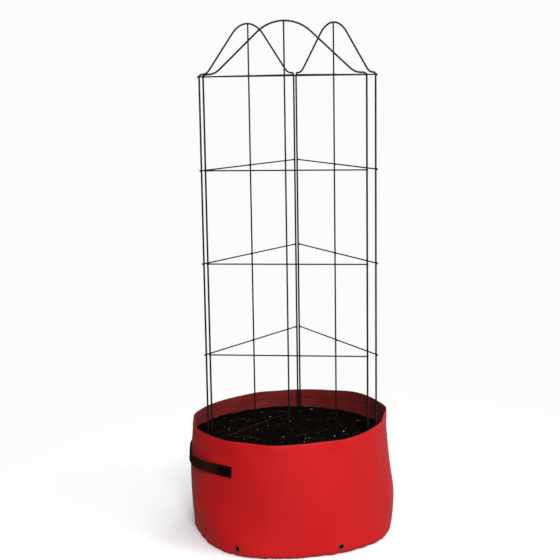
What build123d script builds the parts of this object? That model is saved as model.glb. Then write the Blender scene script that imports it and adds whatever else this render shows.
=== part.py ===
from build123d import *
from math import asin, cos, degrees, radians, sin, sqrt
import os

# Round woven grow bag filled with compost, with two webbing handles, brass drain
# eyelets and three upright wire panels pushed into the compost as a plant support.
# Millimetres, +Z up, origin at the middle of the bag's underside. The front wire
# panel runs along X.

os.makedirs("parts", exist_ok=True)

# ---- driving dimensions: bag ----
bag_height = 257.0
rim_radius = 225.0
belly_radius = 232.0  # the filled bag spreads a little towards its base
belly_height = 50.0
corner_height = 10.0  # the wall is upright from here to belly_height
foot_radius = 224.0
cloth = 1.0  # laminated woven cloth, one layer

hem_depth = 20.0
hem_thread_drop = 17.0  # from the rim down to the hem's row of stitches
thread_width = 0.8
thread_proud = 0.4
seam_width = 14.0  # overlap where the wall strip closes into a ring
seam_angle = 90.0
binding_width = 9.0  # folded tape inside the corner between wall and base
binding_thickness = 2.4

eyelet_angles = (-112.9, -56.3, 4.4, 65.1, 125.7, -173.6)
eyelet_height = 18.0
eyelet_bore_radius = 4.8
eyelet_barrel_radius = 5.4
eyelet_flange_radius = 7.4
eyelet_flange = 0.7
washer_thickness = 0.5

# ---- driving dimensions: handles ----
handle_middles = {"left": -148.8, "right": 42.0}
handle_height = 186.5
strap_width = 25.0
strap_thickness = 1.6
tab_thickness = 3.2  # the sewn ends are folded double
strap_half_angle = 19.6  # from the handle's middle to where it is sewn down
tab_angle = 11.0
strap_reach = 18.0  # how far the middle of the strap stands off the wall
swing_half_length = 58.0  # the middle of the strap that swings as one piece
stitch_inset = 3.0

# ---- driving dimensions: compost ----
compost_height = 212.0
wall_gap = 0.4

# ---- driving dimensions: support panels ----
panel_places = {
    "front": (9.0, -94.4, 0.0),
    "back_right": (104.5, 63.5, 124.2),
    "back_left": (-87.4, 53.4, 240.2),
}
panel_width = 352.0  # between the centres of its two legs
tip_height = 40.0
shoulder_height = 1042.0
shoulder_radius = 8.0
toe_width = 25.0
toe_radius = 35.0
arch_rise = 142.0  # from the shoulders to where the arch's straight flanks would meet
arch_radius = 84.0
rung_heights = (423.0, 629.0, 835.0, 1037.0)
hoop_radius = 2.0
rod_radius = 1.75
rung_radius = 1.5
weld_bite = 0.35  # crossing wires sink this far into each other
socket_gap = 0.4  # round each leg in the compost

# ---- derived sizes ----
flare_drop = bag_height - belly_height
flare_step = belly_radius - rim_radius
flare_radius = (flare_step**2 + flare_drop**2) / (2 * flare_step)
corner_step = belly_radius - foot_radius
corner_radius = (corner_step**2 + corner_height**2) / (2 * corner_step)


def wall_radius(height):
    """Outside radius of the wall: a corner arc, an upright band, then a long flare."""
    if height < corner_height:
        fall = corner_height - height
        return belly_radius - corner_radius + sqrt(corner_radius**2 - fall**2)
    rise = max(height - belly_height, 0)
    return belly_radius - flare_radius + sqrt(flare_radius**2 - rise**2)


def draw_wall_line(inset, low, high):
    """Draw the wall's profile from low to high, moved inwards, and return its two ends."""
    foot = (wall_radius(low) - inset, low)
    corner = (belly_radius - inset, corner_height)
    belly = (belly_radius - inset, belly_height)
    top = (wall_radius(high) - inset, high)
    TangentArc(corner, foot, tangent=(0, -1))
    Line(corner, belly)
    TangentArc(belly, top, tangent=(0, 1))
    return foot, top


def upright_plane(angle, origin=(0, 0, 0)):
    """Vertical plane whose x runs outwards at this angle and whose y is up."""
    turn = radians(angle)
    return Plane(origin=origin, x_dir=(cos(turn), sin(turn), 0), z_dir=(sin(turn), -cos(turn), 0))


def band_outline(low, high, inner, outer):
    """Corners of a thin band that follows the wall between two offsets from its outside."""
    return [
        (wall_radius(low) + inner, low),
        (wall_radius(low) + outer, low),
        (wall_radius(high) + outer, high),
        (wall_radius(high) + inner, high),
    ]


def eyelet_places(reach):
    """Places on the eyelets' axes this far from the bag's middle, with x outwards."""
    places = []
    for angle in eyelet_angles:
        x, y = reach * cos(radians(angle)), reach * sin(radians(angle))
        places.append(Location((x, y, eyelet_height), (0, 0, angle)))
    return places


# ---- bag ----
with BuildPart() as wall_panel:
    with BuildSketch(Plane.XZ):
        with BuildLine():
            outer_foot, outer_top = draw_wall_line(0, 0, bag_height)
            inner_foot, inner_top = draw_wall_line(cloth, 0, bag_height)
            Line(outer_foot, inner_foot)
            Line(outer_top, inner_top)
        make_face()
    revolve(axis=Axis.Z)
    with Locations(*eyelet_places(belly_radius)):
        Cylinder(eyelet_barrel_radius, 8 * cloth, rotation=(0, 90, 0), mode=Mode.SUBTRACT)
wall_panel.part.label = "wall_panel"

with BuildPart() as base_panel:
    with BuildSketch():
        Circle(foot_radius - cloth)
    extrude(amount=cloth)
base_panel.part.label = "base_panel"

with BuildPart() as rim_hem:
    with BuildSketch(Plane.XZ):
        with BuildLine():
            Polyline(*band_outline(bag_height - hem_depth, bag_height, -2 * cloth, -cloth - 0.03), close=True)
        make_face()
    revolve(axis=Axis.Z)
rim_hem.part.label = "rim_hem"

hem_thread_height = bag_height - hem_thread_drop
with BuildPart() as rim_stitching:
    with BuildSketch(Plane.XZ):
        with BuildLine():
            hem_thread = band_outline(hem_thread_height, hem_thread_height + thread_width, 0, thread_proud)
            Polyline(*hem_thread, close=True)
        make_face()
    revolve(axis=Axis.Z)
rim_stitching.part.label = "rim_stitching"

seam_arc = degrees(seam_width / belly_radius)
with BuildPart() as side_seam:
    with BuildSketch(upright_plane(seam_angle - seam_arc / 2)):
        with BuildLine():
            lap_foot, lap_top = draw_wall_line(0, 1, hem_thread_height - 1)
            lap_outer_foot, lap_outer_top = draw_wall_line(-cloth, 1, hem_thread_height - 1)
            Line(lap_foot, lap_outer_foot)
            Line(lap_top, lap_outer_top)
        make_face()
    revolve(axis=Axis.Z, revolution_arc=seam_arc)
side_seam.part.label = "side_seam"

binding_radius = foot_radius - cloth
with BuildPart() as base_seam_binding:
    with BuildSketch(Plane.XY.offset(cloth)):
        Circle(binding_radius)
        Circle(binding_radius - binding_thickness, mode=Mode.SUBTRACT)
    extrude(amount=binding_width)
base_seam_binding.part.label = "base_seam_binding"

# ---- drain eyelets: an outside flange with its barrel, and a washer inside ----
with BuildPart() as drain_eyelets:
    with Locations(*eyelet_places(belly_radius)):
        with Locations((0.15 + eyelet_flange / 2, 0, 0)):
            Cylinder(eyelet_flange_radius, eyelet_flange, rotation=(0, 90, 0))
        with Locations((-cloth, 0, 0)):
            Cylinder(eyelet_barrel_radius - 0.05, 3 * cloth, rotation=(0, 90, 0))
        Cylinder(eyelet_bore_radius, 12 * cloth, rotation=(0, 90, 0), mode=Mode.SUBTRACT)
drain_eyelets.part.label = "drain_eyelets"

washer_place = -cloth - 0.15 - washer_thickness / 2
with BuildPart() as eyelet_washers:
    with Locations(*eyelet_places(belly_radius + washer_place)):
        Cylinder(eyelet_flange_radius, washer_thickness, rotation=(0, 90, 0))
        Cylinder(eyelet_barrel_radius, 4 * cloth, rotation=(0, 90, 0), mode=Mode.SUBTRACT)
eyelet_washers.part.label = "eyelet_washers"

# ---- compost, with a socket for each leg ----
panel_legs = (-panel_width / 2, 0, panel_width / 2)
leg_places = [
    upright_plane(angle, (x, y, tip_height)).from_local_coords((leg, 0, 0))
    for x, y, angle in panel_places.values()
    for leg in panel_legs
]
with BuildPart() as potting_compost:
    with BuildSketch(Plane.XZ):
        with BuildLine():
            soil_foot, soil_top = draw_wall_line(cloth + wall_gap, cloth + 0.3, compost_height)
            Polyline(soil_foot, (0, cloth + 0.3), (0, compost_height), soil_top)
        make_face()
    revolve(axis=Axis.Z)
    with Locations(*leg_places):
        socket_align = (Align.CENTER, Align.CENTER, Align.MIN)
        Cylinder(hoop_radius + socket_gap, compost_height, align=socket_align, mode=Mode.SUBTRACT)
    with BuildSketch():
        Circle(belly_radius)
        Circle(binding_radius - binding_thickness - wall_gap, mode=Mode.SUBTRACT)
    extrude(amount=cloth + binding_width + wall_gap, mode=Mode.SUBTRACT)
    with Locations(*eyelet_places(belly_radius)):
        Cylinder(eyelet_flange_radius + 1, 8 * cloth, rotation=(0, 90, 0), mode=Mode.SUBTRACT)
potting_compost.part.label = "potting_compost"

bag_parts = [
    wall_panel,
    base_panel,
    rim_hem,
    rim_stitching,
    side_seam,
    base_seam_binding,
    drain_eyelets,
    eyelet_washers,
    potting_compost,
]
for piece in bag_parts:
    export_step(piece.part, f"parts/{piece.part.label}.step")

# ---- handles ----
# The strap bows off the wall on one arc through its two sewn ends. Its middle swings
# about the line through those ends; the short stretches beside the tabs stay put.
handle_low = handle_height - strap_width / 2
handle_high = handle_height + strap_width / 2
strap_root = wall_radius(handle_low) + 0.3
chord_x = strap_root * cos(radians(strap_half_angle))
chord_half = strap_root * sin(radians(strap_half_angle))
bow_sag = strap_root + strap_reach - chord_x
bow_radius = (chord_half**2 + bow_sag**2) / (2 * bow_sag)
bow_top = chord_x + bow_sag
bow_centre = (bow_top - bow_radius, 0)
bow_half_angle = degrees(asin(chord_half / bow_radius))
joint_gap = 0.3


def draw_bow():
    """Draw the whole bow's edge-on outline, from one sewn end to the other."""
    inner = CenterArc(bow_centre, bow_radius, -bow_half_angle, 2 * bow_half_angle)
    outer = CenterArc(bow_centre, bow_radius + strap_thickness, -bow_half_angle, 2 * bow_half_angle)
    Line(inner @ 0, outer @ 0)
    Line(inner @ 1, outer @ 1)


for side, middle in handle_middles.items():
    turn = radians(middle)
    strap_plane = Plane(origin=(0, 0, handle_low), x_dir=(cos(turn), sin(turn), 0), z_dir=(0, 0, 1))

    with BuildPart() as strap:
        with BuildSketch(strap_plane):
            with BuildLine():
                draw_bow()
            make_face()
            with Locations((bow_top, 0)):
                Rectangle(4 * bow_sag, 2 * swing_half_length, mode=Mode.INTERSECT)
        extrude(amount=strap_width)
    strap.part.label = f"{side}_handle_strap"

    tab_starts = (middle - strap_half_angle - tab_angle, middle + strap_half_angle)
    with BuildPart() as tabs:
        with BuildSketch(strap_plane):
            with BuildLine():
                draw_bow()
            make_face()
            with Locations((bow_top, 0)):
                Rectangle(4 * bow_sag, 2 * (swing_half_length + joint_gap), mode=Mode.SUBTRACT)
        extrude(amount=strap_width)
        for start in tab_starts:
            with BuildSketch(upright_plane(start)):
                with BuildLine():
                    Polyline(*band_outline(handle_low, handle_high, 0.05, tab_thickness), close=True)
                make_face()
            revolve(axis=Axis.Z, revolution_arc=tab_angle)
    tabs.part.label = f"{side}_handle_tabs"

    stitch_angle = degrees(stitch_inset / belly_radius)
    upright_arc = degrees(thread_width / belly_radius)
    thread_top = tab_thickness + thread_proud
    row_low = handle_low + stitch_inset
    row_high = handle_high - stitch_inset
    with BuildPart() as stitching:
        for start in tab_starts:
            box_start = start + stitch_angle
            box_end = start + tab_angle - stitch_angle
            with BuildSketch(upright_plane(box_start)):
                for row in (row_low, row_high - thread_width):
                    with BuildLine():
                        row_thread = band_outline(row, row + thread_width, tab_thickness, thread_top)
                        Polyline(*row_thread, close=True)
                    make_face()
            revolve(axis=Axis.Z, revolution_arc=box_end - box_start)
            for upright in (box_start, box_end - upright_arc):
                with BuildSketch(upright_plane(upright)):
                    with BuildLine():
                        Polyline(*band_outline(row_low, row_high, tab_thickness, thread_top), close=True)
                    make_face()
                revolve(axis=Axis.Z, revolution_arc=upright_arc)
    stitching.part.label = f"{side}_handle_stitching"

    for piece in (strap, tabs, stitching):
        export_step(piece.part, f"parts/{piece.part.label}.step")

# ---- support panels ----
# Each panel is a bent hoop, a centre rod up to its apex and four rungs welded across
# the outer face of both. The thinner rod lies flush with the hoop's outer face.
half_width = panel_width / 2
toe_x = half_width - toe_width
flank = sqrt(toe_x**2 + arch_rise**2)
apex_height = shoulder_height + arch_rise - arch_radius * (flank / toe_x - 1)
rung_length = panel_width + 2 * hoop_radius
rung_lift = hoop_radius + rung_radius - weld_bite

for name, (x, y, angle) in panel_places.items():
    panel = upright_plane(angle, (x, y, 0))
    tip_plane = Plane(panel.from_local_coords((-half_width, tip_height, 0)), x_dir=panel.x_dir)
    pieces = []

    with BuildPart() as hoop:
        with BuildLine(panel) as bend_line:
            hoop_corners = [
                (-half_width, tip_height),
                (-half_width, shoulder_height),
                (-toe_x, shoulder_height),
                (0, shoulder_height + arch_rise),
                (toe_x, shoulder_height),
                (half_width, shoulder_height),
                (half_width, tip_height),
            ]
            hoop_bends = [shoulder_radius, toe_radius, arch_radius, toe_radius, shoulder_radius]
            FilletPolyline(*hoop_corners, radius=hoop_bends)
        with BuildSketch(tip_plane):
            Circle(hoop_radius)
        sweep()
    hoop.part.label = f"{name}_panel_hoop"
    pieces.append(hoop)

    with BuildPart() as centre_rod:
        with BuildSketch(Plane(panel.from_local_coords((0, tip_height, hoop_radius - rod_radius)))):
            Circle(rod_radius)
        extrude(amount=apex_height - hoop_radius + weld_bite - tip_height)
    centre_rod.part.label = f"{name}_panel_centre_rod"
    pieces.append(centre_rod)

    for number, height in enumerate(rung_heights, start=1):
        rung_start = panel.from_local_coords((-rung_length / 2, height, rung_lift))
        with BuildPart() as rung:
            with BuildSketch(Plane(rung_start, z_dir=panel.x_dir)):
                Circle(rung_radius)
            extrude(amount=rung_length)
        rung.part.label = f"{name}_panel_rung_{number}"
        pieces.append(rung)

    for piece in pieces:
        export_step(piece.part, f"parts/{piece.part.label}.step")
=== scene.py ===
"""The looks of a filled grow bag and its wire plant support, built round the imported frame.

Metres, +Z up, the middle of the bag's underside at the origin, the front wire panel
along X. Angles round the bag are degrees from +X, seen from above.
"""

import random
from math import cos, pi, radians, sin, sqrt

import bpy
import numpy as np
from mathutils import Matrix, Vector, noise
from mathutils.geometry import delaunay_2d_cdt


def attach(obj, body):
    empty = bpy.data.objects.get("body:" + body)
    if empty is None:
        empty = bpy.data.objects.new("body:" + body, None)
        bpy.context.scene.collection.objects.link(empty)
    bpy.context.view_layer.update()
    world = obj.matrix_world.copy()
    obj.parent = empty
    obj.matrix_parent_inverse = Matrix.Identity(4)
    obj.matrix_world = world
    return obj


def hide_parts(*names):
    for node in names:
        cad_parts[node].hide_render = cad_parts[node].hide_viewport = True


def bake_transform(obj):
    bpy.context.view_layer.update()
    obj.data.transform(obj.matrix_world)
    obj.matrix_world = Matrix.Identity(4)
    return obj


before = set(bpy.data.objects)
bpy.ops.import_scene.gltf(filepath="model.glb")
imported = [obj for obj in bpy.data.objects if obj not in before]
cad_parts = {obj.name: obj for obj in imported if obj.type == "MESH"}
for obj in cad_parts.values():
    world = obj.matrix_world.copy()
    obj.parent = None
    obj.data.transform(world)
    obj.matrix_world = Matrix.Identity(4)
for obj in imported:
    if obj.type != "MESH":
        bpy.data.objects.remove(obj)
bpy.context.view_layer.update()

# ---- camera, light and floor ----
camera_data = bpy.data.cameras.new("camera")
camera_data.lens = 78.2
camera_data.sensor_width = 36.0
camera = bpy.data.objects.new("camera", camera_data)
camera.matrix_world = (
    Matrix.Translation((0.2818, -2.7186, 1.0569))
    @ Matrix.Rotation(radians(6.28), 4, "Z")
    @ Matrix.Rotation(radians(90 - 9.96), 4, "X")
    @ Matrix.Rotation(radians(-0.88), 4, "Z")
)
bpy.context.collection.objects.link(camera)
bpy.context.scene.camera = camera
bpy.context.scene.view_settings.view_transform = "Standard"


def soft_light(name, place, aim, size, power):
    """Add a square area light that faces a point."""
    light = bpy.data.lights.new(name, "AREA")
    light.shape = "SQUARE"
    light.size = size
    light.energy = power
    lamp = bpy.data.objects.new(name, light)
    lamp.location = place
    lamp.rotation_euler = (Vector(aim) - Vector(place)).to_track_quat("-Z", "Y").to_euler()
    bpy.context.collection.objects.link(lamp)


bag_middle = (0, 0, 0.15)
soft_light("key_light", (0.45, -2.9, 1.7), bag_middle, 1.1, 98)
soft_light("side_light", (2.7, -0.9, 1.5), bag_middle, 1.3, 42)
soft_light("back_light", (0.9, 2.8, 1.6), bag_middle, 1.2, 17)
soft_light("top_light", (0.5, 0.4, 3.2), bag_middle, 2.0, 26)


def set_up(node, inputs):
    """Set a node's inputs by name, each from a value or from another node's output."""
    for name, value in inputs.items():
        if isinstance(value, bpy.types.NodeSocket):
            node.id_data.links.new(value, node.inputs[name])
        else:
            node.inputs[name].default_value = value
    return node


def add_node(tree, kind, inputs=(), **settings):
    """Add a shader node with its settings, and set its inputs."""
    node = tree.nodes.new(f"ShaderNode{kind}")
    for name, value in settings.items():
        setattr(node, name, value)
    return set_up(node, dict(inputs))


# The world is white to the camera. As a light it is dimmer, and darkest on the left.
world = bpy.data.worlds.new("studio")
world.use_nodes = True
tree = world.node_tree
seen = add_node(tree, "LightPath").outputs["Is Camera Ray"]
heading = add_node(tree, "TexCoord").outputs["Generated"]
towards_right = add_node(
    tree, "VectorMath", {0: heading, 1: (0.78, -0.42, 0.46)}, operation="DOT_PRODUCT"
).outputs["Value"]
glow = add_node(
    tree,
    "MapRange",
    {"Value": towards_right, "From Min": -0.7, "From Max": 0.9, "To Min": 0.07, "To Max": 0.75},
).outputs[0]
strength = add_node(tree, "MapRange", {"Value": seen, "To Min": glow, "To Max": 0.97}).outputs[0]
set_up(tree.nodes["Background"], {"Color": (1, 1, 1, 1), "Strength": strength})
bpy.context.scene.world = world

floor_material = bpy.data.materials.new("pale_floor")
floor_material.use_nodes = True
tree = floor_material.node_tree
tree.nodes.clear()
floor_place = add_node(tree, "TexCoord").outputs["Object"]
distance = add_node(tree, "VectorMath", {0: floor_place}, operation="LENGTH").outputs["Value"]
far_away = add_node(
    tree,
    "MapRange",
    {"Value": distance, "From Min": 0.27, "From Max": 1.3},
    interpolation_type="SMOOTHSTEP",
).outputs[0]
# The camera sees a paler floor than the one that lights the bag's foot.
seen = add_node(tree, "LightPath").outputs["Is Camera Ray"]
paleness = add_node(tree, "MapRange", {"Value": seen, "To Min": 0.35, "To Max": 0.92}).outputs[0]
near_floor = add_node(tree, "BsdfDiffuse", {"Color": paleness}).outputs[0]
far_floor = add_node(tree, "BsdfTransparent").outputs[0]
faded = add_node(tree, "MixShader", {0: far_away, 1: near_floor, 2: far_floor}).outputs[0]
add_node(tree, "OutputMaterial", {"Surface": faded})


def add_mesh(name, points, faces, material, uvs=None, smooth=True):
    """Add a mesh piece. uvs holds one pair for each corner of each face, in face order."""
    mesh = bpy.data.meshes.new(name)
    mesh.from_pydata([tuple(map(float, p)) for p in points], [], [tuple(map(int, f)) for f in faces])
    mesh.materials.append(material)
    if uvs is not None:
        layer = mesh.uv_layers.new(name="cloth")
        layer.data.foreach_set("uv", np.asarray(uvs, dtype=np.float32).ravel())
    mesh.polygons.foreach_set("use_smooth", [smooth] * len(mesh.polygons))
    piece = bpy.data.objects.new(name, mesh)
    bpy.context.collection.objects.link(piece)
    return piece


floor_half = 30.0
floor_corners = [
    (floor_half * x, floor_half * y, 0) for x, y in ((-1, -1), (1, -1), (1, 1), (-1, 1))
]
floor = add_mesh("floor", floor_corners, [(0, 1, 2, 3)], floor_material)

# ---- sizes, the CAD model's except for stitches, webbing and the eyelets' cut ----
bag_height = 0.257
rim_radius = 0.225
belly_radius = 0.232
belly_height = 0.050
corner_height = 0.010
foot_radius = 0.224
cloth = 0.001
hem_depth = 0.020
hem_thread_drop = 0.017
seam_angle = 90.0
seam_width = 0.014
stitch_pitch = 0.0045
red_thread_radius = 0.00035
box_stitch_pitch = 0.0032
dark_thread_radius = 0.00032
eyelet_angles = (-112.9, -56.3, 4.4, 65.1, 125.7, -173.6)
eyelet_height = 0.018
eyelet_barrel = 0.0054
eyelet_cut = 0.0050  # faces of the wall whose middles are nearer than this are cut out
handle_middles = {"left": -148.8, "right": 42.0}
handle_height = 0.1865
strap_width = 0.025
strap_thickness = 0.0016
strap_half_angle = 19.6
tab_angle = 11.0
strap_reach = 0.0095  # the CAD strap stands further out, so that a hand fits
webbing_length = 0.3334
compost_height = 0.212
socket_radius = 0.0024
panel_places = {
    "front": (0.0090, -0.0944, 0.0),
    "back_right": (0.1045, 0.0635, 124.2),
    "back_left": (-0.0874, 0.0534, 240.2),
}
panel_half_width = 0.176
rung_heights = (0.423, 0.629, 0.835, 1.037)
hoop_wire = 0.0020


# ---- materials ----
def make_material(name):
    """Make a material with a principled shader, and return it with its tree and shader."""
    material = bpy.data.materials.new(name)
    material.use_nodes = True
    tree = material.node_tree
    return material, tree, tree.nodes["Principled BSDF"]


def math_node(tree, operation, *values):
    """Add a math node and return its output."""
    return add_node(tree, "Math", dict(enumerate(values)), operation=operation).outputs[0]


def noise_at(tree, place, scale, detail=2.0, roughness=0.5):
    """Add a noise texture at a place's coordinates and return its value."""
    settings = {"Vector": place, "Scale": scale, "Detail": detail, "Roughness": roughness}
    return add_node(tree, "TexNoise", settings).outputs["Fac"]


def blend_colours(tree, factor, first, second):
    """Mix two colours by a factor and return the result."""
    mix = add_node(tree, "Mix", data_type="RGBA")
    tree.links.new(factor, mix.inputs["Factor"])
    for index, colour in ((6, first), (7, second)):
        if isinstance(colour, bpy.types.NodeSocket):
            tree.links.new(colour, mix.inputs[index])
        else:
            mix.inputs[index].default_value = (*colour, 1)
    return mix.outputs[2]


def ridges(tree, along, pitch):
    """Rounded ridges at a pitch along a coordinate, from 0 in the valleys to 1."""
    wave = math_node(tree, "SINE", math_node(tree, "MULTIPLY", along, pi / pitch))
    return math_node(tree, "ABSOLUTE", wave)


def tape_weave(tree, pitch):
    """A plain weave of flat tapes on the cloth's own coordinates: its height from 0 to 1."""
    place = add_node(tree, "UVMap", uv_map="cloth").outputs[0]
    parts = add_node(tree, "SeparateXYZ", {0: place})
    waves = [
        math_node(tree, "SINE", math_node(tree, "MULTIPLY", parts.outputs[axis], pi / pitch))
        for axis in (0, 1)
    ]
    over = math_node(tree, "MULTIPLY", waves[0], waves[1])
    warp = math_node(tree, "ABSOLUTE", waves[0])
    weft = math_node(tree, "ABSOLUTE", waves[1])
    over = math_node(tree, "MULTIPLY_ADD", over, 0.5, 0.5)
    warp = math_node(tree, "MULTIPLY", math_node(tree, "POWER", warp, 0.4), over)
    over = math_node(tree, "SUBTRACT", 1.0, over)
    weft = math_node(tree, "MULTIPLY", math_node(tree, "POWER", weft, 0.4), over)
    return math_node(tree, "ADD", warp, weft)


def make_cloth(name, colour, dark_colour, roughness, edge_colour=None, worn_at=None):
    """Laminated cloth woven from flat tapes, with soft creases and a slight gloss."""
    material, tree, shader = make_material(name)
    place = add_node(tree, "TexCoord").outputs["Object"]
    weave = tape_weave(tree, 0.0024)
    patches = noise_at(tree, place, 9.0, 3.0)
    grime = noise_at(tree, place, 70.0, 4.0, 0.6)
    tone = math_node(tree, "MULTIPLY_ADD", patches, 0.8, -0.15)
    tone = math_node(tree, "MULTIPLY_ADD", grime, 0.25, tone)
    tone = math_node(tree, "MULTIPLY_ADD", weave, -0.12, tone)
    colours = blend_colours(tree, tone, colour, dark_colour)
    if edge_colour:
        parts = add_node(tree, "SeparateXYZ", {0: add_node(tree, "UVMap", uv_map="cloth").outputs[0]})
        off_band = math_node(tree, "SUBTRACT", parts.outputs[1], worn_at)
        off_band = math_node(tree, "ABSOLUTE", off_band)
        worn = add_node(
            tree,
            "MapRange",
            {"Value": off_band, "From Min": 0.0004, "From Max": 0.0022, "To Min": 1.0, "To Max": 0.0},
        ).outputs[0]
        worn = math_node(tree, "MULTIPLY", worn, math_node(tree, "MULTIPLY_ADD", grime, 1.2, -0.1))
        colours = blend_colours(tree, worn, colours, edge_colour)
    creases = noise_at(tree, place, 26.0, 3.0, 0.45)
    fine_creases = noise_at(tree, place, 120.0, 2.0)
    bump = add_node(tree, "Bump", {"Height": creases, "Distance": 0.0011, "Strength": 0.55})
    bump = add_node(
        tree,
        "Bump",
        {"Height": fine_creases, "Distance": 0.0002, "Strength": 0.5, "Normal": bump.outputs[0]},
    )
    bump = add_node(
        tree,
        "Bump",
        {"Height": weave, "Distance": 0.0001, "Strength": 0.6, "Normal": bump.outputs[0]},
    )
    set_up(
        shader,
        {
            "Base Color": colours,
            "Roughness": math_node(tree, "MULTIPLY_ADD", grime, 0.12, roughness - 0.06),
            "Specular IOR Level": 0.13,
            "Sheen Weight": 0.02,
            "Sheen Roughness": 0.5,
            "Normal": bump.outputs[0],
        },
    )
    return material


worn_band = 0.2745  # along the wall's cloth from its foot edge, just inside the rim
red_cloth = make_cloth(
    "red_laminated_cloth",
    (0.40, 0.0045, 0.006),
    (0.335, 0.004, 0.005),
    0.60,
    edge_colour=(0.50, 0.06, 0.055),
    worn_at=worn_band,
)
# The inside cloth is a darker, greyer copy of the red cloth: painted shade for the shadow of the plant's
# leaves, which are left out.
cloth_inside_painted_shade = make_cloth("cloth_inside_painted_shade", (0.125, 0.0095, 0.0085), (0.065, 0.006, 0.0055), 0.65)
tape_cloth = make_cloth("binding_tape_weave", (0.36, 0.01, 0.012), (0.26, 0.008, 0.01), 0.7)


def make_webbing():
    """Ribbed polypropylene webbing, nearly black, its bowed middle painted a lighter brown as a painted
    sheen highlight.
    """
    material, tree, shader = make_material("ribbed_webbing")
    parts = add_node(tree, "SeparateXYZ", {0: add_node(tree, "UVMap", uv_map="cloth").outputs[0]})
    place = add_node(tree, "TexCoord").outputs["Object"]
    across = ridges(tree, parts.outputs[0], 0.00208)
    lean = math_node(tree, "MULTIPLY_ADD", across, 0.0009, parts.outputs[1])
    along = ridges(tree, lean, 0.0014)
    along = math_node(tree, "MULTIPLY_ADD", along, 0.55, 0.45)
    rib = math_node(tree, "MULTIPLY", math_node(tree, "POWER", across, 0.5), along)
    fuzz = noise_at(tree, place, 900.0, 2.0)
    patches = noise_at(tree, place, 45.0, 3.0)
    from_middle = math_node(tree, "SUBTRACT", parts.outputs[1], webbing_length / 2)
    from_middle = math_node(tree, "ABSOLUTE", from_middle)
    # Painted highlight: the middle, which bows out from the wall, blends towards a lighter brown sheen
    # colour, while the sewn tabs stay near black.
    painted_sheen_mask = add_node(
        tree,
        "MapRange",
        {"Value": from_middle, "From Min": 0.098, "From Max": 0.062},
        interpolation_type="SMOOTHSTEP",
    ).outputs[0]
    tone = math_node(tree, "MULTIPLY_ADD", rib, 0.4, math_node(tree, "MULTIPLY_ADD", patches, 0.8, -0.3))
    painted_sheen_brown = blend_colours(tree, tone, (0.0085, 0.0025, 0.0007), (0.042, 0.0128, 0.0060))
    near_black = blend_colours(tree, tone, (0.0010, 0.0004, 0.0003), (0.0045, 0.0018, 0.0010))
    bump = add_node(tree, "Bump", {"Height": fuzz, "Distance": 0.00008, "Strength": 0.6})
    bump = add_node(
        tree, "Bump", {"Height": rib, "Distance": 0.0004, "Strength": 0.9, "Normal": bump.outputs[0]}
    )
    set_up(
        shader,
        {
            "Base Color": blend_colours(tree, painted_sheen_mask, near_black, painted_sheen_brown),
            "Roughness": math_node(tree, "MULTIPLY_ADD", fuzz, 0.15, 0.6),
            "Specular IOR Level": 0.03,
            "Normal": bump.outputs[0],
        },
    )
    return material


webbing = make_webbing()


def make_thread(name, colour, dark_colour):
    """Twisted polyester thread."""
    material, tree, shader = make_material(name)
    place = add_node(tree, "TexCoord").outputs["Object"]
    fibres = noise_at(tree, place, 2600.0, 2.0)
    bump = add_node(tree, "Bump", {"Height": fibres, "Distance": 0.00008, "Strength": 0.8})
    set_up(
        shader,
        {
            "Base Color": blend_colours(tree, fibres, dark_colour, colour),
            "Roughness": math_node(tree, "MULTIPLY_ADD", fibres, 0.2, 0.55),
            "Specular IOR Level": 0.1,
            "Normal": bump.outputs[0],
        },
    )
    return material


red_thread = make_thread("red_thread", (0.40, 0.006, 0.007), (0.28, 0.004, 0.005))
dark_thread = make_thread("dark_thread", (0.010, 0.0055, 0.0035), (0.003, 0.0018, 0.0012))


def make_brass():
    """Lacquered brass, duller and browner in patches, with fine scratches."""
    material, tree, shader = make_material("eyelet_brass")
    place = add_node(tree, "TexCoord").outputs["Object"]
    tarnish = noise_at(tree, place, 260.0, 4.0, 0.6)
    stretched = add_node(tree, "Mapping", {"Vector": place, "Scale": (1, 1, 14)}).outputs[0]
    scratches = noise_at(tree, stretched, 500.0)
    bump = add_node(tree, "Bump", {"Height": scratches, "Distance": 0.00004, "Strength": 0.5})
    set_up(
        shader,
        {
            "Base Color": blend_colours(tree, tarnish, (0.26, 0.13, 0.05), (0.07, 0.035, 0.018)),
            "Metallic": 1.0,
            "Roughness": math_node(tree, "MULTIPLY_ADD", tarnish, 0.3, 0.28),
            "Normal": bump.outputs[0],
        },
    )
    return material


brass = make_brass()


def make_earthy(name, colour, dark_colour, scale, depth, roughness):
    """Rough, crumbly organic matter: compost, bark, perlite or root by its colours."""
    material, tree, shader = make_material(name)
    place = add_node(tree, "TexCoord").outputs["Object"]
    lumps = noise_at(tree, place, scale, 6.0, 0.65)
    grains = noise_at(tree, place, scale * 7, 3.0, 0.6)
    tone = math_node(tree, "MULTIPLY_ADD", lumps, 0.8, -0.35)
    tone = math_node(tree, "MULTIPLY_ADD", grains, 0.9, tone)
    bump = add_node(tree, "Bump", {"Height": lumps, "Distance": depth, "Strength": 0.8})
    bump = add_node(
        tree,
        "Bump",
        {"Height": grains, "Distance": depth / 4, "Strength": 0.9, "Normal": bump.outputs[0]},
    )
    set_up(
        shader,
        {
            "Base Color": blend_colours(tree, tone, dark_colour, colour),
            "Roughness": roughness,
            "Specular IOR Level": 0.03,
            "Normal": bump.outputs[0],
        },
    )
    return material


compost_look = make_earthy(
    "damp_compost", (0.0028, 0.0018, 0.0008), (0.0003, 0.0002, 0.0001), 160.0, 0.003, 1.0
)
bark_look = make_earthy(
    "bark_fines", (0.014, 0.0065, 0.0030), (0.002, 0.0010, 0.0005), 300.0, 0.0006, 0.8
)
perlite_look = make_earthy("perlite", (0.62, 0.60, 0.54), (0.30, 0.28, 0.24), 500.0, 0.0003, 0.8)
root_look = make_earthy(
    "straw_and_root", (0.060, 0.042, 0.024), (0.016, 0.010, 0.005), 400.0, 0.0002, 0.7
)


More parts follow.
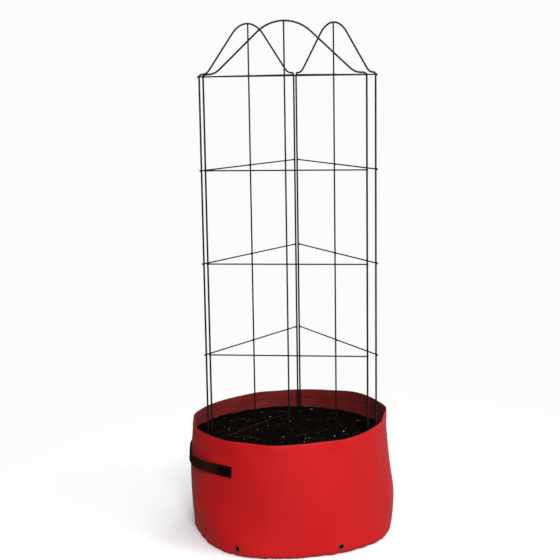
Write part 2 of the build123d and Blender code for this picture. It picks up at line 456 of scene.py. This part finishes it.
def make_wire_coating():
    """Black plastic coating on steel wire, satin, with a faint orange peel and dust."""
    material, tree, shader = make_material("black_wire_coating")
    place = add_node(tree, "TexCoord").outputs["Object"]
    peel = noise_at(tree, place, 900.0, 2.0)
    dust = noise_at(tree, place, 120.0, 5.0, 0.7)
    bump = add_node(tree, "Bump", {"Height": peel, "Distance": 0.00005, "Strength": 0.5})
    tone = math_node(tree, "MULTIPLY_ADD", dust, 2.2, -1.1)
    set_up(
        shader,
        {
            "Base Color": blend_colours(tree, tone, (0.0016, 0.0016, 0.0018), (0.008, 0.0075, 0.007)),
            "Roughness": math_node(tree, "MULTIPLY_ADD", dust, 0.3, 0.30),
            "Specular IOR Level": 0.16,
            "Normal": bump.outputs[0],
        },
    )
    return material


wire_coating = make_wire_coating()
for name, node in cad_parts.items():
    if "_panel_" in name:
        for slot in node.material_slots:
            slot.material = wire_coating


# ---- the shape of the filled bag ----
def wall_radius(height):
    """The wall's outer radius in the CAD model."""
    corner_step = belly_radius - foot_radius
    corner_arc = (corner_step**2 + corner_height**2) / (2 * corner_step)
    flare_step = belly_radius - rim_radius
    flare_arc = (flare_step**2 + (bag_height - belly_height) ** 2) / (2 * flare_step)
    below = np.clip(corner_height - height, 0, None)
    above = np.clip(height - belly_height, 0, None)
    low = belly_radius - corner_arc + np.sqrt(corner_arc**2 - below**2)
    high = belly_radius - flare_arc + np.sqrt(flare_arc**2 - above**2)
    return np.where(height < corner_height, low, np.where(height > belly_height, high, belly_radius))


def near(angle, middle, spread):
    """1 at an angle round the bag, falling smoothly to 0 beyond its spread."""
    apart = (angle - middle + 180) % 360 - 180
    return np.exp(-((apart / spread) ** 2))


# Where the compost pushes the wall out or lets it sink: angle, its spread, height, its
# spread, and how far.
bulges = (
    (-116, 26, 0.006, 0.055, 0.0122),
    (-150, 20, 0.000, 0.024, -0.0035),
    (-42, 22, 0.000, 0.032, 0.0030),
    (-90, 24, 0.000, 0.035, 0.0030),
    (-22, 24, 0.010, 0.050, 0.0095),
    (-72, 15, 0.000, 0.040, -0.0015),
    (4, 26, 0.080, 0.055, 0.0085),
    (12, 20, 0.000, 0.024, -0.0048),
    (0, 34, 0.240, 0.060, -0.0022),
    (62, 26, 0.015, 0.050, 0.0060),
    (104, 18, 0.030, 0.060, -0.0030),
    (150, 24, 0.015, 0.055, 0.0060),
    (-168, 20, 0.010, 0.045, -0.0045),
    (-97, 4.0, 0.095, 0.060, 0.0011),
    (-84, 2.6, 0.060, 0.040, -0.0009),
    (-58, 3.5, 0.110, 0.050, -0.0011),
    (-70, 3.0, 0.185, 0.035, 0.0008),
    (-31, 4.5, 0.060, 0.045, 0.0014),
    (-44, 2.8, 0.035, 0.030, -0.0012),
    (-19, 3.0, 0.190, 0.050, -0.0011),
    (-128, 4.0, 0.060, 0.050, 0.0014),
    (-110, 2.6, 0.205, 0.030, -0.0008),
    (-141, 3.0, 0.030, 0.030, -0.0016),
    (-138, 17, 0.085, 0.030, 0.0062),
    (-137, 15, 0.018, 0.016, -0.0052),
    (114, 5.0, 0.242, 0.026, 0.0030),
    (101, 4.0, 0.236, 0.024, -0.0026),
    (82, 5.5, 0.244, 0.030, 0.0034),
    (70, 4.5, 0.238, 0.024, -0.0028),
    (57, 6.0, 0.244, 0.026, 0.0026),
    (133, 6.0, 0.240, 0.026, -0.0026),
)
gathers = 38
gather_dice = random.Random(5)
gather_edges = np.array([(k + gather_dice.uniform(-0.28, 0.28)) * 360 / gathers for k in range(gathers)])
gather_sizes = np.array([gather_dice.uniform(0.35, 1.0) for k in range(gathers)])


def gather_folds(angle):
    """Rounded folds with sharp valleys between them, where the wall is eased on to the base."""
    turned = (angle - gather_edges[0]) % 360
    edges = np.append(gather_edges - gather_edges[0], 360.0)
    cell = np.clip(np.searchsorted(edges, turned, side="right") - 1, 0, gathers - 1)
    along = (turned - edges[cell]) / (edges[cell + 1] - edges[cell])
    return gather_sizes[cell] * np.sin(pi * along) ** 0.7 - 0.45


def swell(angle, height):
    """How far the filled wall stands off the CAD wall."""
    turn = np.radians(angle)
    offset = sum(
        reach * near(angle, middle, spread) * np.exp(-(((height - level) / depth) ** 2))
        for middle, spread, level, depth, reach in bulges
    )
    free = np.clip((height - 0.190) / 0.067, 0, 1)
    offset = offset + free * (
        0.0016 * np.sin(7 * turn + 0.6)
        + 0.0012 * np.sin(11 * turn - 2.0 + 30 * height)
        + 0.0008 * np.sin(17 * turn + 45 * height)
    )
    offset = offset + 0.0009 * np.sin(5 * turn + 22 * height)
    offset = offset + 0.0006 * np.sin(13 * turn - 34 * height + 1.1)
    return offset + 0.0030 * gather_folds(angle) * np.exp(-np.clip(height, 0, None) / 0.013)


def rise(angle, height):
    """How far the cloth sits above its CAD height: the rim dips and the foot is gathered."""
    turn = np.radians(angle)
    rim = 0.0012 * np.sin(turn) + 0.0044 * np.cos(turn) + 0.0035 * near(angle, 58, 24)
    rim = rim + 0.0085 * near(angle, 25, 30) + 0.0006 * np.sin(9 * turn)
    valleys = 0.0022 * np.clip(0.35 - gather_folds(angle), 0, None)
    foot = valleys * np.exp(-np.clip(height, 0, None) / 0.009)
    return rim * (height / bag_height) ** 2 + foot


def wall_point(angle, height, outward=0.0, radius=None):
    """Points on the outside of the filled wall, or beside it, for angles and heights."""
    angle, height = np.asarray(angle, float), np.asarray(height, float)
    angle, height, outward = np.broadcast_arrays(angle, height, outward)
    reach = (wall_radius(height) if radius is None else radius) + swell(angle, height) + outward
    turn = np.radians(angle)
    return np.stack([reach * np.cos(turn), reach * np.sin(turn), height + rise(angle, height)], axis=-1)


def wall_normal(angle, height):
    """Outward unit normals of the filled wall."""
    round_it = wall_point(np.add(angle, 0.3), height) - wall_point(np.subtract(angle, 0.3), height)
    up_it = wall_point(angle, np.add(height, 0.002)) - wall_point(angle, np.subtract(height, 0.002))
    normal = np.cross(round_it, up_it)
    return normal / np.linalg.norm(normal, axis=-1, keepdims=True)


def grid_faces(rows, columns, closed):
    """Faces of a grid of points, and the row and column of each of their corners."""
    last = columns if closed else columns - 1
    row, column = np.meshgrid(np.arange(rows - 1), np.arange(last), indexing="ij")
    row, column = row.ravel(), column.ravel()
    corners = [(row, column), (row, column + 1), (row + 1, column + 1), (row + 1, column)]
    faces = np.stack([r * columns + c % columns for r, c in corners], axis=1)
    face_rows = np.stack([r for r, c in corners], axis=1)
    face_columns = np.stack([c for r, c in corners], axis=1)
    return faces, face_rows, face_columns


def join_rings(faces, start, rings, sides):
    """Add the faces of a capped tube over rings of points, stored one after the other."""
    for k in range(rings - 1):
        ring = start + k * sides
        for side in range(sides):
            other = (side + 1) % sides
            faces.append((ring + side, ring + other, ring + sides + other, ring + sides + side))
    faces.append(tuple(start + side for side in reversed(range(sides))))
    faces.append(tuple(start + (rings - 1) * sides + side for side in range(sides)))


def add_grid(name, points, u, v, material, closed=False, keep=None, capped=False):
    """Add a grid of points as a sheet or tube, its cloth coordinates u by column and v by row."""
    u, v = np.asarray(u), np.asarray(v)
    rows, columns = points.shape[:2]
    faces, face_rows, face_columns = grid_faces(rows, columns, closed)
    if keep is not None:
        kept = keep[face_rows[:, 0], face_columns[:, 0]]
        faces, face_rows, face_columns = faces[kept], face_rows[kept], face_columns[kept]
    uvs = np.stack([u[face_columns], v[face_rows]], axis=-1).reshape(-1, 2)
    faces = faces.tolist()
    if capped:
        for row, order in ((0, -1), (rows - 1, 1)):
            ring = np.arange(columns)[::order]
            faces.append((row * columns + ring).tolist())
            uvs = np.concatenate([uvs, np.stack([u[ring], np.full(columns, v[row])], axis=1)])
    return add_mesh(name, points.reshape(-1, 3), faces, material, uvs)


def thicken(piece, thickness, material_step=0):
    """Give a sheet its thickness. Its inner side can take a later material of the piece's."""
    solidify = piece.modifiers.new("thickness", "SOLIDIFY")
    solidify.thickness = thickness
    solidify.offset = 0
    solidify.thickness_clamp = 1.0
    solidify.material_offset = material_step
    graph = bpy.context.evaluated_depsgraph_get()
    mesh = bpy.data.meshes.new_from_object(piece.evaluated_get(graph))
    piece.modifiers.clear()
    piece.data = mesh


# ---- wall, with its hem and its holes for the eyelets ----
columns = 720
column_angles = np.arange(columns) * 360 / columns
middle_of_cloth = cloth / 2
roll = 0.0008  # half the gap between the wall and its turned-down hem
outer_heights = np.concatenate(
    [np.arange(0.002, 0.032, 0.002), np.arange(0.032, 0.232, 0.008), np.arange(0.232, 0.2556, 0.0026)]
)
rim_centre = bag_height - middle_of_cloth - roll
path = [(foot_radius - 0.0028, 0.0100), (foot_radius - 0.0028, 0.0060), (foot_radius - 0.0026, 0.0030)]
path += [(foot_radius - 0.0020, 0.0012), (foot_radius - 0.0010, 0.0006)]
turned_under = len(path)  # rows of cloth turned up inside the foot
path += [(float(wall_radius(h)) - middle_of_cloth, h) for h in outer_heights]
rim_turns = np.radians([0, 36, 72, 108, 144, 180])
for turn in rim_turns:
    path.append((rim_radius - middle_of_cloth - roll + roll * cos(turn), rim_centre + roll * sin(turn)))
for drop in (0.003, 0.007, 0.011, 0.014, 0.016, hem_thread_drop, 0.018, hem_depth):
    pinch = 0.0004 * np.exp(-(((drop - hem_thread_drop) / 0.0015) ** 2))
    height = bag_height - drop
    path.append((float(wall_radius(height)) - middle_of_cloth - 2 * roll + pinch, height))
path = np.array(path)
path_length = np.concatenate([[0], np.cumsum(np.linalg.norm(np.diff(path, axis=0), axis=1))])

angles = np.repeat(column_angles[None, :], len(path), axis=0)
heights = np.repeat(path[:, 1:2], columns, axis=1)
radii = np.repeat(path[:, 0:1], columns, axis=1)
rows = np.arange(len(path))
outer_rows = (rows >= turned_under) & (rows < turned_under + len(outer_heights))
keep = np.ones((len(path) - 1, columns), bool)
face_angles = column_angles + 180 / columns
for eyelet in eyelet_angles:
    beside = np.radians((angles - eyelet + 180) % 360 - 180) * belly_radius
    above = heights - eyelet_height
    from_middle = np.hypot(beside, above)
    from_middle[~outer_rows] = 1
    face_beside = np.radians((face_angles - eyelet + 180) % 360 - 180)[None, :] * belly_radius
    face_above = ((path[:-1, 1] + path[1:, 1]) / 2 - eyelet_height)[:, None]
    cut = np.hypot(face_beside, face_above) < eyelet_cut
    cut &= outer_rows[:-1, None] & outer_rows[1:, None]
    keep &= ~cut
    touched = np.zeros_like(from_middle, bool)
    for down in (0, 1):
        for right in (0, 1):
            touched[down : len(path) - 1 + down] |= np.roll(cut, right, axis=1)
    touched &= from_middle > 0.001
    stretch = eyelet_barrel / from_middle[touched]
    angles[touched] = eyelet + np.degrees(beside[touched] * stretch / belly_radius)
    heights[touched] = eyelet_height + above[touched] * stretch
cloth_round = 2 * pi * belly_radius
wall = add_grid(
    "wall",
    wall_point(angles, heights, radius=radii),
    np.arange(columns + 1) * cloth_round / columns,
    path_length,
    red_cloth,
    closed=True,
    keep=keep,
)
# The inner faces and the hem turned down inside take the darker inside cloth, so they carry its painted
# shade.
wall.data.materials.append(cloth_inside_painted_shade)
hem_start = turned_under + len(outer_heights) + len(rim_turns) // 2
for face in wall.data.polygons:
    if min(face.vertices) // columns >= hem_start:
        face.material_index = 1
thicken(wall, 0.9 * cloth, material_step=1)
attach(wall, "bag")
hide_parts("wall_panel", "rim_hem")

# ---- base ----
base_rings = np.concatenate([np.linspace(0.004, 0.19, 16), np.linspace(0.198, 0.2225, 8)])
base_angles = column_angles[::3]
edge_swell = swell(base_angles, np.zeros(len(base_angles)))
flex = (base_rings / base_rings[-1]) ** 3
base_radii = base_rings[:, None] + flex[:, None] * edge_swell[None, :]
base_turns = np.radians(base_angles)[None, :]
base_valleys = np.clip(0.3 - gather_folds(base_angles), 0, None)
base_lift = 0.0006 + 0.0012 * flex[:, None] ** 6 * base_valleys[None, :]
base_points = np.stack(
    [base_radii * np.cos(base_turns), base_radii * np.sin(base_turns), base_lift], axis=-1
)
base_round = np.arange(len(base_angles) + 1) * cloth_round / len(base_angles)
base = add_grid("base", base_points, base_round, base_rings, red_cloth, closed=True)
thicken(base, 0.9 * cloth)
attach(base, "bag")
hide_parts("base_panel")

# ---- binding over the base seam, inside ----
binding_section = [(0.2206, 0.0016), (0.2203, 0.0060), (0.2206, 0.0098), (0.2218, 0.0104)]
binding_section += [(0.2229, 0.0098), (0.2231, 0.0060), (0.2229, 0.0016)]
binding_points = np.stack([wall_point(base_angles, h, radius=r) for r, h in binding_section])
binding_run = np.arange(len(binding_section)) * 0.004
binding = add_grid(
    "seam_binding", binding_points, base_round, binding_run, tape_cloth, closed=True
)
thicken(binding, 0.0005)
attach(binding, "bag")
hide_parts("base_seam_binding")


# ---- sewing ----
def sew(name, lines, pitch, thread, material, replaced=()):
    """Sew rows of stitches. Each line is its points, where the cloth is, and their normals."""
    points, faces = [], []
    sides = 6
    dip = thread * np.array([-0.9, 0.35, 0.6, 0.6, 0.35, -0.9])  # ends sunk into the cloth
    rings = len(dip)
    for line, normals in lines:
        steps = np.linalg.norm(np.diff(line, axis=0), axis=1)
        length = np.concatenate([[0], np.cumsum(steps)])
        count = max(1, round(length[-1] / pitch))
        for stitch in range(count):
            along = (stitch + np.linspace(0.10, 0.90, rings)) * length[-1] / count
            spine = np.stack([np.interp(along, length, line[:, k]) for k in range(3)], axis=1)
            up = np.stack([np.interp(along, length, normals[:, k]) for k in range(3)], axis=1)
            spine = spine + up * dip[:, None]
            ahead = np.gradient(spine, axis=0)
            ahead /= np.linalg.norm(ahead, axis=1, keepdims=True)
            across = np.cross(ahead, up)
            across /= np.linalg.norm(across, axis=1, keepdims=True)
            over = np.cross(across, ahead)
            start = len(points)
            for k in range(rings):
                for side in range(sides):
                    turn = 2 * pi * side / sides
                    points.append(spine[k] + thread * (cos(turn) * across[k] + sin(turn) * over[k]))
            join_rings(faces, start, rings, sides)
    piece = add_mesh(name, points, faces, material)
    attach(piece, "bag")
    if replaced:
        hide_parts(*replaced)
    return piece


hem_height = bag_height - hem_thread_drop
around = np.append(column_angles, 360.0)
hem_outside = wall_point(around, hem_height)
hem_normals = wall_normal(around, hem_height)
hem_inside = wall_point(around, hem_height, outward=-(cloth + 2 * roll - 0.0004))
sew(
    "hem_stitches",
    [(hem_outside, hem_normals), (hem_inside, -hem_normals)],
    stitch_pitch,
    red_thread_radius,
    red_thread,
    ["rim_stitching"],
)

# ---- side seam: the wall's end lapped over its start ----
seam_heights = np.linspace(0.004, bag_height - 0.0022, 80)
half_seam = np.degrees(seam_width / 2 / belly_radius)
seam_offsets = np.linspace(-half_seam, half_seam, 13)
seam_points = np.stack([wall_point(seam_angle + seam_offsets, h, outward=0.0005) for h in seam_heights])
seam_across = np.radians(seam_offsets) * belly_radius
side_seam = add_grid("side_seam_lap", seam_points, seam_across, seam_heights, red_cloth)
thicken(side_seam, 0.9 * cloth)
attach(side_seam, "bag")
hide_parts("side_seam")
seam_lines = []
for offset in (-0.55 * half_seam, 0.55 * half_seam):
    row_angles = np.full(len(seam_heights), seam_angle + offset)
    row = wall_point(row_angles, seam_heights, outward=0.95 * cloth)
    seam_lines.append((row, wall_normal(row_angles, seam_heights)))
sew(
    "side_seam_stitches", seam_lines, stitch_pitch, red_thread_radius, red_thread
)


# ---- eyelets and their washers ----
def turned_rings(name, profiles, replaced):
    """Turn profiles of radius and depth about each eyelet's axis."""
    points, faces = [], []
    segments = 40
    for angle in eyelet_angles:
        centre = wall_point(angle, eyelet_height)
        out = wall_normal(angle, eyelet_height)
        side = np.cross((0, 0, 1), out)
        side /= np.linalg.norm(side)
        up = np.cross(out, side)
        for profile in profiles:
            start = len(points)
            for radius, depth in profile:
                for k in range(segments):
                    turn = 2 * pi * k / segments
                    points.append(centre + radius * (cos(turn) * side + sin(turn) * up) + depth * out)
            rings = len(profile)
            for ring in range(rings):
                this, other = start + ring * segments, start + (ring + 1) % rings * segments
                for k in range(segments):
                    following = (k + 1) % segments
                    faces.append((this + k, this + following, other + following, other + k))
    piece = add_mesh(name, points, faces, brass)
    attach(piece, "bag")
    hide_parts(replaced)


rolled_flange = [(0.0048, -0.0022), (0.0048, -0.0002), (0.00495, 0.0004), (0.0054, 0.0008)]
rolled_flange += [(0.0059, 0.00095), (0.0064, 0.0009), (0.0069, 0.0006), (0.0073, 0.0001)]
rolled_flange += [(0.0071, -0.0001), (0.0055, -0.0001), (0.0053, -0.0012), (0.0053, -0.0018)]
rolled_flange += [(0.0060, -0.0022), (0.0057, -0.0026)]
flat_washer = [(0.0054, -0.0011), (0.0072, -0.0011), (0.0074, -0.0014), (0.0070, -0.0018)]
flat_washer += [(0.0057, -0.0017)]
turned_rings("drain_eyelet_rings", [rolled_flange], "drain_eyelets")
turned_rings("clenched_washers", [flat_washer], "eyelet_washers")


# ---- handles: one length of webbing each, its ends tucked under and sewn down ----
def strap_path():
    """Angles from the handle's middle and offsets from the wall along the webbing."""
    lower, upper = 0.6 * strap_thickness, 1.65 * strap_thickness
    far = strap_half_angle + tab_angle
    turn_angle = np.degrees(0.5 * strap_thickness / belly_radius)
    middle, reach = (lower + upper) / 2, (upper - lower) / 2
    half = [(a, lower) for a in np.linspace(strap_half_angle + 0.6, far - 0.5, 14)]
    for turn in np.linspace(-60, 60, 5):
        half.append((far - 0.3 + turn_angle * cos(radians(turn)), middle + reach * sin(radians(turn))))
    half += [(a, upper) for a in np.linspace(far - 0.5, strap_half_angle, 16)]
    for share in np.linspace(0.985, 0.0, 34):
        bow = (1 - share**2) ** 1.5
        half.append((share * strap_half_angle, upper + (strap_reach + 0.0008 - upper) * bow))
    half = np.array(half)
    other = half[:-1][::-1] * (-1, 1)
    return np.concatenate([half, other])


strap_half = strap_width / 2
across_strap = strap_half * np.sin(np.radians(np.linspace(-90, 90, 21)))
for side, middle in handle_middles.items():
    route = strap_path()
    bow = np.clip((route[:, 1] - 0.004) / (strap_reach - 0.004), 0, 1)
    crease = -0.0030 * bow[:, None] * np.exp(-(((across_strap + 0.002) / 0.0045) ** 2))[None, :]
    curl = 0.0012 * bow[:, None] * (across_strap / strap_half)[None, :] ** 2
    sag = 0.0010 * bow[:, None]
    levels = handle_height + across_strap[None, :] - sag
    centre = wall_point(middle + route[:, :1], levels, outward=route[:, 1:] + crease + curl)
    ahead = np.gradient(centre, axis=0)
    ahead /= np.linalg.norm(ahead, axis=2, keepdims=True)
    outward = np.cross((0, 0, 1), ahead)
    outward /= np.linalg.norm(outward, axis=2, keepdims=True)
    edge_shape = np.clip(1 - (across_strap / (strap_half + 0.00001)) ** 8, 0.02, 1)
    half_thickness = strap_thickness / 2 * np.sqrt(edge_shape)
    front = centre + outward * half_thickness[None, :, None]
    back = centre - outward * half_thickness[None, :, None]
    section = np.concatenate([front, back[:, ::-1]], axis=1)
    steps = np.linalg.norm(np.diff(centre[:, len(across_strap) // 2], axis=0), axis=1)
    run = np.concatenate([[0], np.cumsum(steps)])
    width_places = np.concatenate([across_strap, across_strap[::-1], across_strap[:1]])
    strap = add_grid(
        f"{side}_handle_webbing", section, width_places, run, webbing, closed=True, capped=True
    )
    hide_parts(f"{side}_handle_strap", f"{side}_handle_tabs")
    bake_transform(strap)

    box_lines = []
    inset = 0.0030
    inset_angle = np.degrees(inset / belly_radius)
    top = 2.15 * strap_thickness + 0.0001
    for start in (middle - strap_half_angle - tab_angle, middle + strap_half_angle):
        left, right = start + inset_angle, start + tab_angle - inset_angle
        low, high = handle_height - strap_half + inset, handle_height + strap_half - inset
        corners = [(left, low), (right, low), (right, high), (left, high), (left, low)]
        corners.append((right, high))
        spans = [*zip(corners, corners[1:]), ((left, high), (right, low))]
        for (a0, h0), (a1, h1) in spans:
            a, h = np.linspace(a0, a1, 12), np.linspace(h0, h1, 12)
            box_lines.append((wall_point(a, h, outward=top), wall_normal(a, h)))
    sew(
        f"{side}_handle_box_stitches",
        box_lines,
        box_stitch_pitch,
        dark_thread_radius,
        dark_thread,
        [f"{side}_handle_stitching"],
    )


# ---- compost ----
socket_sides = 14
leg_places = []
for x, y, angle in panel_places.values():
    along = Vector((cos(radians(angle)), sin(radians(angle))))
    for reach in (-panel_half_width, 0, panel_half_width):
        leg_places.append(Vector((x, y)) + along * reach)


def ring_places(middle, radius):
    """Points of one ring round a leg, as many as its socket has sides."""
    turns = [2 * pi * k / socket_sides for k in range(socket_sides)]
    return [middle + radius * Vector((cos(turn), sin(turn))) for turn in turns]


def ground(x, y):
    """The compost's height: watered flat, lumpy, and dished round each leg."""
    place = Vector((x, y, 0))
    height = 0.0034 * noise.noise(place * 9) + 0.0028 * noise.noise(place * 27 + Vector((3, 1, 0)))
    height += 0.0018 * noise.noise(place * 80) + 0.0010 * noise.noise(place * 210)
    edge = sqrt(x * x + y * y) / 0.222
    height += 0.0030 * edge**6 - 0.0010
    for leg in leg_places:
        height -= 0.0035 * np.exp(-((((x - leg.x) ** 2 + (y - leg.y) ** 2)) / 0.0075**2))
    return compost_height + height


edge_count = 360
edge_angles = np.arange(edge_count) * 1.0
inside_wall = -(cloth + 0.0004)
edge_ring = wall_point(edge_angles, compost_height, outward=inside_wall)
flat_points = [Vector((p[0], p[1])) for p in edge_ring]
flat_edges = [(k, (k + 1) % edge_count) for k in range(edge_count)]
socket_starts = []
for leg in leg_places:
    start = len(flat_points)
    socket_starts.append(start)
    flat_points += ring_places(leg, socket_radius)
    flat_edges += [(start + k, start + (k + 1) % socket_sides) for k in range(socket_sides)]
clear_of_wall = 0.2195
for leg in leg_places:
    for point in ring_places(leg, 0.0045) + ring_places(leg, 0.0075):
        clear_of_legs = all((point - other).length > 0.0040 for other in leg_places)
        if point.length < clear_of_wall and clear_of_legs:
            flat_points.append(point)
soil_dice = random.Random(12)
spacing = 0.0036
for row in range(-72, 73):
    for column in range(-64, 65):
        x = (column + 0.5 * (row % 2) + soil_dice.uniform(-0.3, 0.3)) * spacing
        y = (row * 0.866 + soil_dice.uniform(-0.3, 0.3)) * spacing
        point = Vector((x, y))
        clear_of_legs = all((point - leg).length >= 0.0095 for leg in leg_places)
        if point.length <= clear_of_wall and clear_of_legs:
            flat_points.append(point)
flat, _, triangles, _, _, _ = delaunay_2d_cdt(flat_points, flat_edges, [], 1, 1e-7)
soil_points = [(p.x, p.y, ground(p.x, p.y)) for p in flat]
soil_faces = []
for face in triangles:
    middle = sum((flat[k] for k in face), Vector((0, 0))) / len(face)
    if all((middle - leg).length > socket_radius for leg in leg_places):
        soil_faces.append(tuple(face))


def lengthen(ring, level_points):
    """Run a wall of faces from a ring of points down through rings of new points."""
    for level in level_points:
        start = len(soil_points)
        soil_points.extend(tuple(p) for p in level)
        count = len(ring)
        for k in range(count):
            following = (k + 1) % count
            soil_faces.append((ring[k], start + k, start + following, ring[following]))
        ring = [start + k for k in range(count)]
    soil_faces.append(tuple(ring))


side_heights = (0.20, 0.17, 0.14, 0.11, 0.08, 0.05, 0.03, 0.018)
side_levels = [wall_point(edge_angles, h, outward=inside_wall) for h in side_heights]
foot_ring = wall_point(edge_angles, 0.0115, outward=-0.012)
side_levels.append(foot_ring)
side_levels.append(foot_ring * (1, 1, 0) + (0, 0, 0.0019))
lengthen(list(range(edge_count)), side_levels)
for leg, start in zip(leg_places, socket_starts):
    socket_ring = ring_places(leg, socket_radius)
    levels = [[(*place, height) for place in socket_ring] for height in (0.200, 0.12, 0.0402)]
    lengthen([start + k for k in range(socket_sides)], levels)
compost = add_mesh("compost", soil_points, soil_faces, compost_look)
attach(compost, "bag")
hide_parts("potting_compost")

# ---- bits on the compost ----
# A crumb starts as an icosahedron, whose corners are those of three crossed golden rectangles.
golden = (1 + sqrt(5)) / 2
ball_points = [(-1, golden, 0), (1, golden, 0), (-1, -golden, 0), (1, -golden, 0)]
ball_points += [(0, -1, golden), (0, 1, golden), (0, -1, -golden), (0, 1, -golden)]
ball_points += [(golden, 0, -1), (golden, 0, 1), (-golden, 0, -1), (-golden, 0, 1)]
ball_faces = [(0, 11, 5), (0, 5, 1), (0, 1, 7), (0, 7, 10), (0, 10, 11)]
ball_faces += [(1, 5, 9), (5, 11, 4), (11, 10, 2), (10, 7, 6), (7, 1, 8)]
ball_faces += [(3, 9, 4), (3, 4, 2), (3, 2, 6), (3, 6, 8), (3, 8, 9)]
ball_faces += [(4, 9, 5), (2, 4, 11), (6, 2, 10), (8, 6, 7), (9, 8, 1)]


def free_place(dice, reach):
    """A place on the compost clear of the legs and the wall."""
    while True:
        x, y = dice.uniform(-reach, reach), dice.uniform(-reach, reach)
        clear = all((x - leg.x) ** 2 + (y - leg.y) ** 2 > 0.009**2 for leg in leg_places)
        if x * x + y * y < reach * reach and clear:
            return x, y


def scatter(name, count, seed, sizes, flatness, material, sink=0.2):
    """Scatter angular crumbs over the compost."""
    dice = random.Random(seed)
    points, faces = [], []
    for _ in range(count):
        x, y = free_place(dice, 0.214)
        size = sizes[0] + (sizes[1] - sizes[0]) * dice.random() ** 2.2
        shape = Matrix.Rotation(dice.uniform(0, 2 * pi), 3, "Z")
        shape = shape @ Matrix.Rotation(dice.gauss(0, 0.35), 3, "X")
        width = size * dice.uniform(0.45, 0.9)
        height = size * flatness * dice.uniform(0.7, 1.3)
        shape = shape @ Matrix.Diagonal((size, width, height))
        start = len(points)
        middle = Vector((x, y, ground(x, y) + size * flatness * (0.5 - sink)))
        for corner in ball_points:
            jitter = dice.uniform(0.7, 1.15) / 3.8
            points.append(middle + shape @ (Vector(corner) * jitter))
        faces.extend(tuple(start + k for k in face) for face in ball_faces)
    piece = add_mesh(name, points, faces, material, smooth=False)
    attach(piece, "bag")


scatter("compost_crumbs", 2600, 21, (0.0022, 0.0075), 0.7, compost_look)
scatter("bark_chips", 520, 22, (0.003, 0.013), 0.3, bark_look)
scatter("perlite_grains", 42, 23, (0.0016, 0.0038), 0.85, perlite_look, sink=0.0)


def add_stalk(points, faces, spine, wire):
    """Add a closed thin tube along a spine, tapering to half its width."""
    sides = 5
    start = len(points)
    for k, middle in enumerate(spine):
        ahead = (spine[min(k + 1, len(spine) - 1)] - spine[max(k - 1, 0)]).normalized()
        across = ahead.cross((0, 0, 1)).normalized()
        over = across.cross(ahead)
        taper = wire * (1 - 0.5 * k / len(spine))
        for s in range(sides):
            turn = 2 * pi * s / sides
            points.append(middle + taper * (cos(turn) * across + sin(turn) * over))
    join_rings(faces, start, len(spine), sides)


def lay_roots(name, count, seed, lengths, radius, material):
    """Lay thin bent stalks and roots on the compost."""
    dice = random.Random(seed)
    points, faces = [], []
    for _ in range(count):
        x, y = free_place(dice, 0.19)
        heading = dice.uniform(0, 2 * pi)
        length = dice.uniform(*lengths)
        wire = radius * dice.uniform(0.5, 1.2)
        turn_rate = dice.gauss(0, 7)
        steps = 12
        spine = []
        for k in range(steps + 1):
            if x * x + y * y > 0.215**2:
                break
            spine.append(Vector((x, y, ground(x, y) + wire * 1.2 + 0.0012 * sin(pi * k / steps))))
            heading += turn_rate * length / steps + dice.gauss(0, 0.12)
            x, y = x + cos(heading) * length / steps, y + sin(heading) * length / steps
        if len(spine) >= 4:
            add_stalk(points, faces, spine, wire)
    piece = add_mesh(name, points, faces, material)
    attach(piece, "bag")


def lay_long_straw(start, end):
    """Lay one long dry stalk across the compost, touching only its high places."""
    spine = []
    steps = 60
    for k in range(steps + 1):
        share = k / steps
        x, y = start.lerp(end, share) + Vector((0.004 * sin(5 * share), 0.005 * sin(3.1 * share + 0.4)))
        lift = 0.0030 + 0.0035 * sin(pi * share) + 0.0006 * sin(19 * share)
        spine.append(Vector((x, y, compost_height + lift)))
    points, faces = [], []
    add_stalk(points, faces, spine, 0.00055)
    piece = add_mesh("long_straw", points, faces, root_look)
    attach(piece, "bag")


lay_roots("roots_and_straw", 46, 31, (0.018, 0.055), 0.00045, root_look)
lay_roots("twigs", 16, 32, (0.015, 0.035), 0.0011, bark_look)
lay_long_straw(Vector((-0.141, -0.037)), Vector((-0.013, 0.160)))

# ---- weld beads under the coating ----
up = np.array([0, 0, 1])
bead_rings = 7
bead_sides = 12
for panel, (x, y, angle) in panel_places.items():
    along = np.array([cos(radians(angle)), sin(radians(angle)), 0])
    outward = np.array([sin(radians(angle)), -cos(radians(angle)), 0])
    origin = np.array([x, y, 0])
    points, faces = [], []
    for height in rung_heights:
        for reach in (-panel_half_width, 0, panel_half_width):
            middle = origin + along * reach + outward * (hoop_wire + 0.0003) + up * height
            start = len(points)
            for ring in range(bead_rings):
                fall = pi * (ring + 0.5) / bead_rings
                for k in range(bead_sides):
                    turn = 2 * pi * k / bead_sides
                    point = middle + 0.0030 * sin(fall) * cos(turn) * along
                    point = point + 0.0027 * sin(fall) * sin(turn) * up
                    points.append(point + 0.0019 * cos(fall) * outward)
            for ring in range(bead_rings - 1):
                here = start + ring * bead_sides
                below = here + bead_sides
                for k in range(bead_sides):
                    other = (k + 1) % bead_sides
                    faces.append((here + k, here + other, below + other, below + k))
            for ring in (0, bead_rings - 1):
                faces.append(tuple(start + ring * bead_sides + k for k in range(bead_sides)))
    beads = add_mesh(f"{panel}_panel_weld_beads", points, faces, wire_coating)
    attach(beads, f"{panel}_panel")
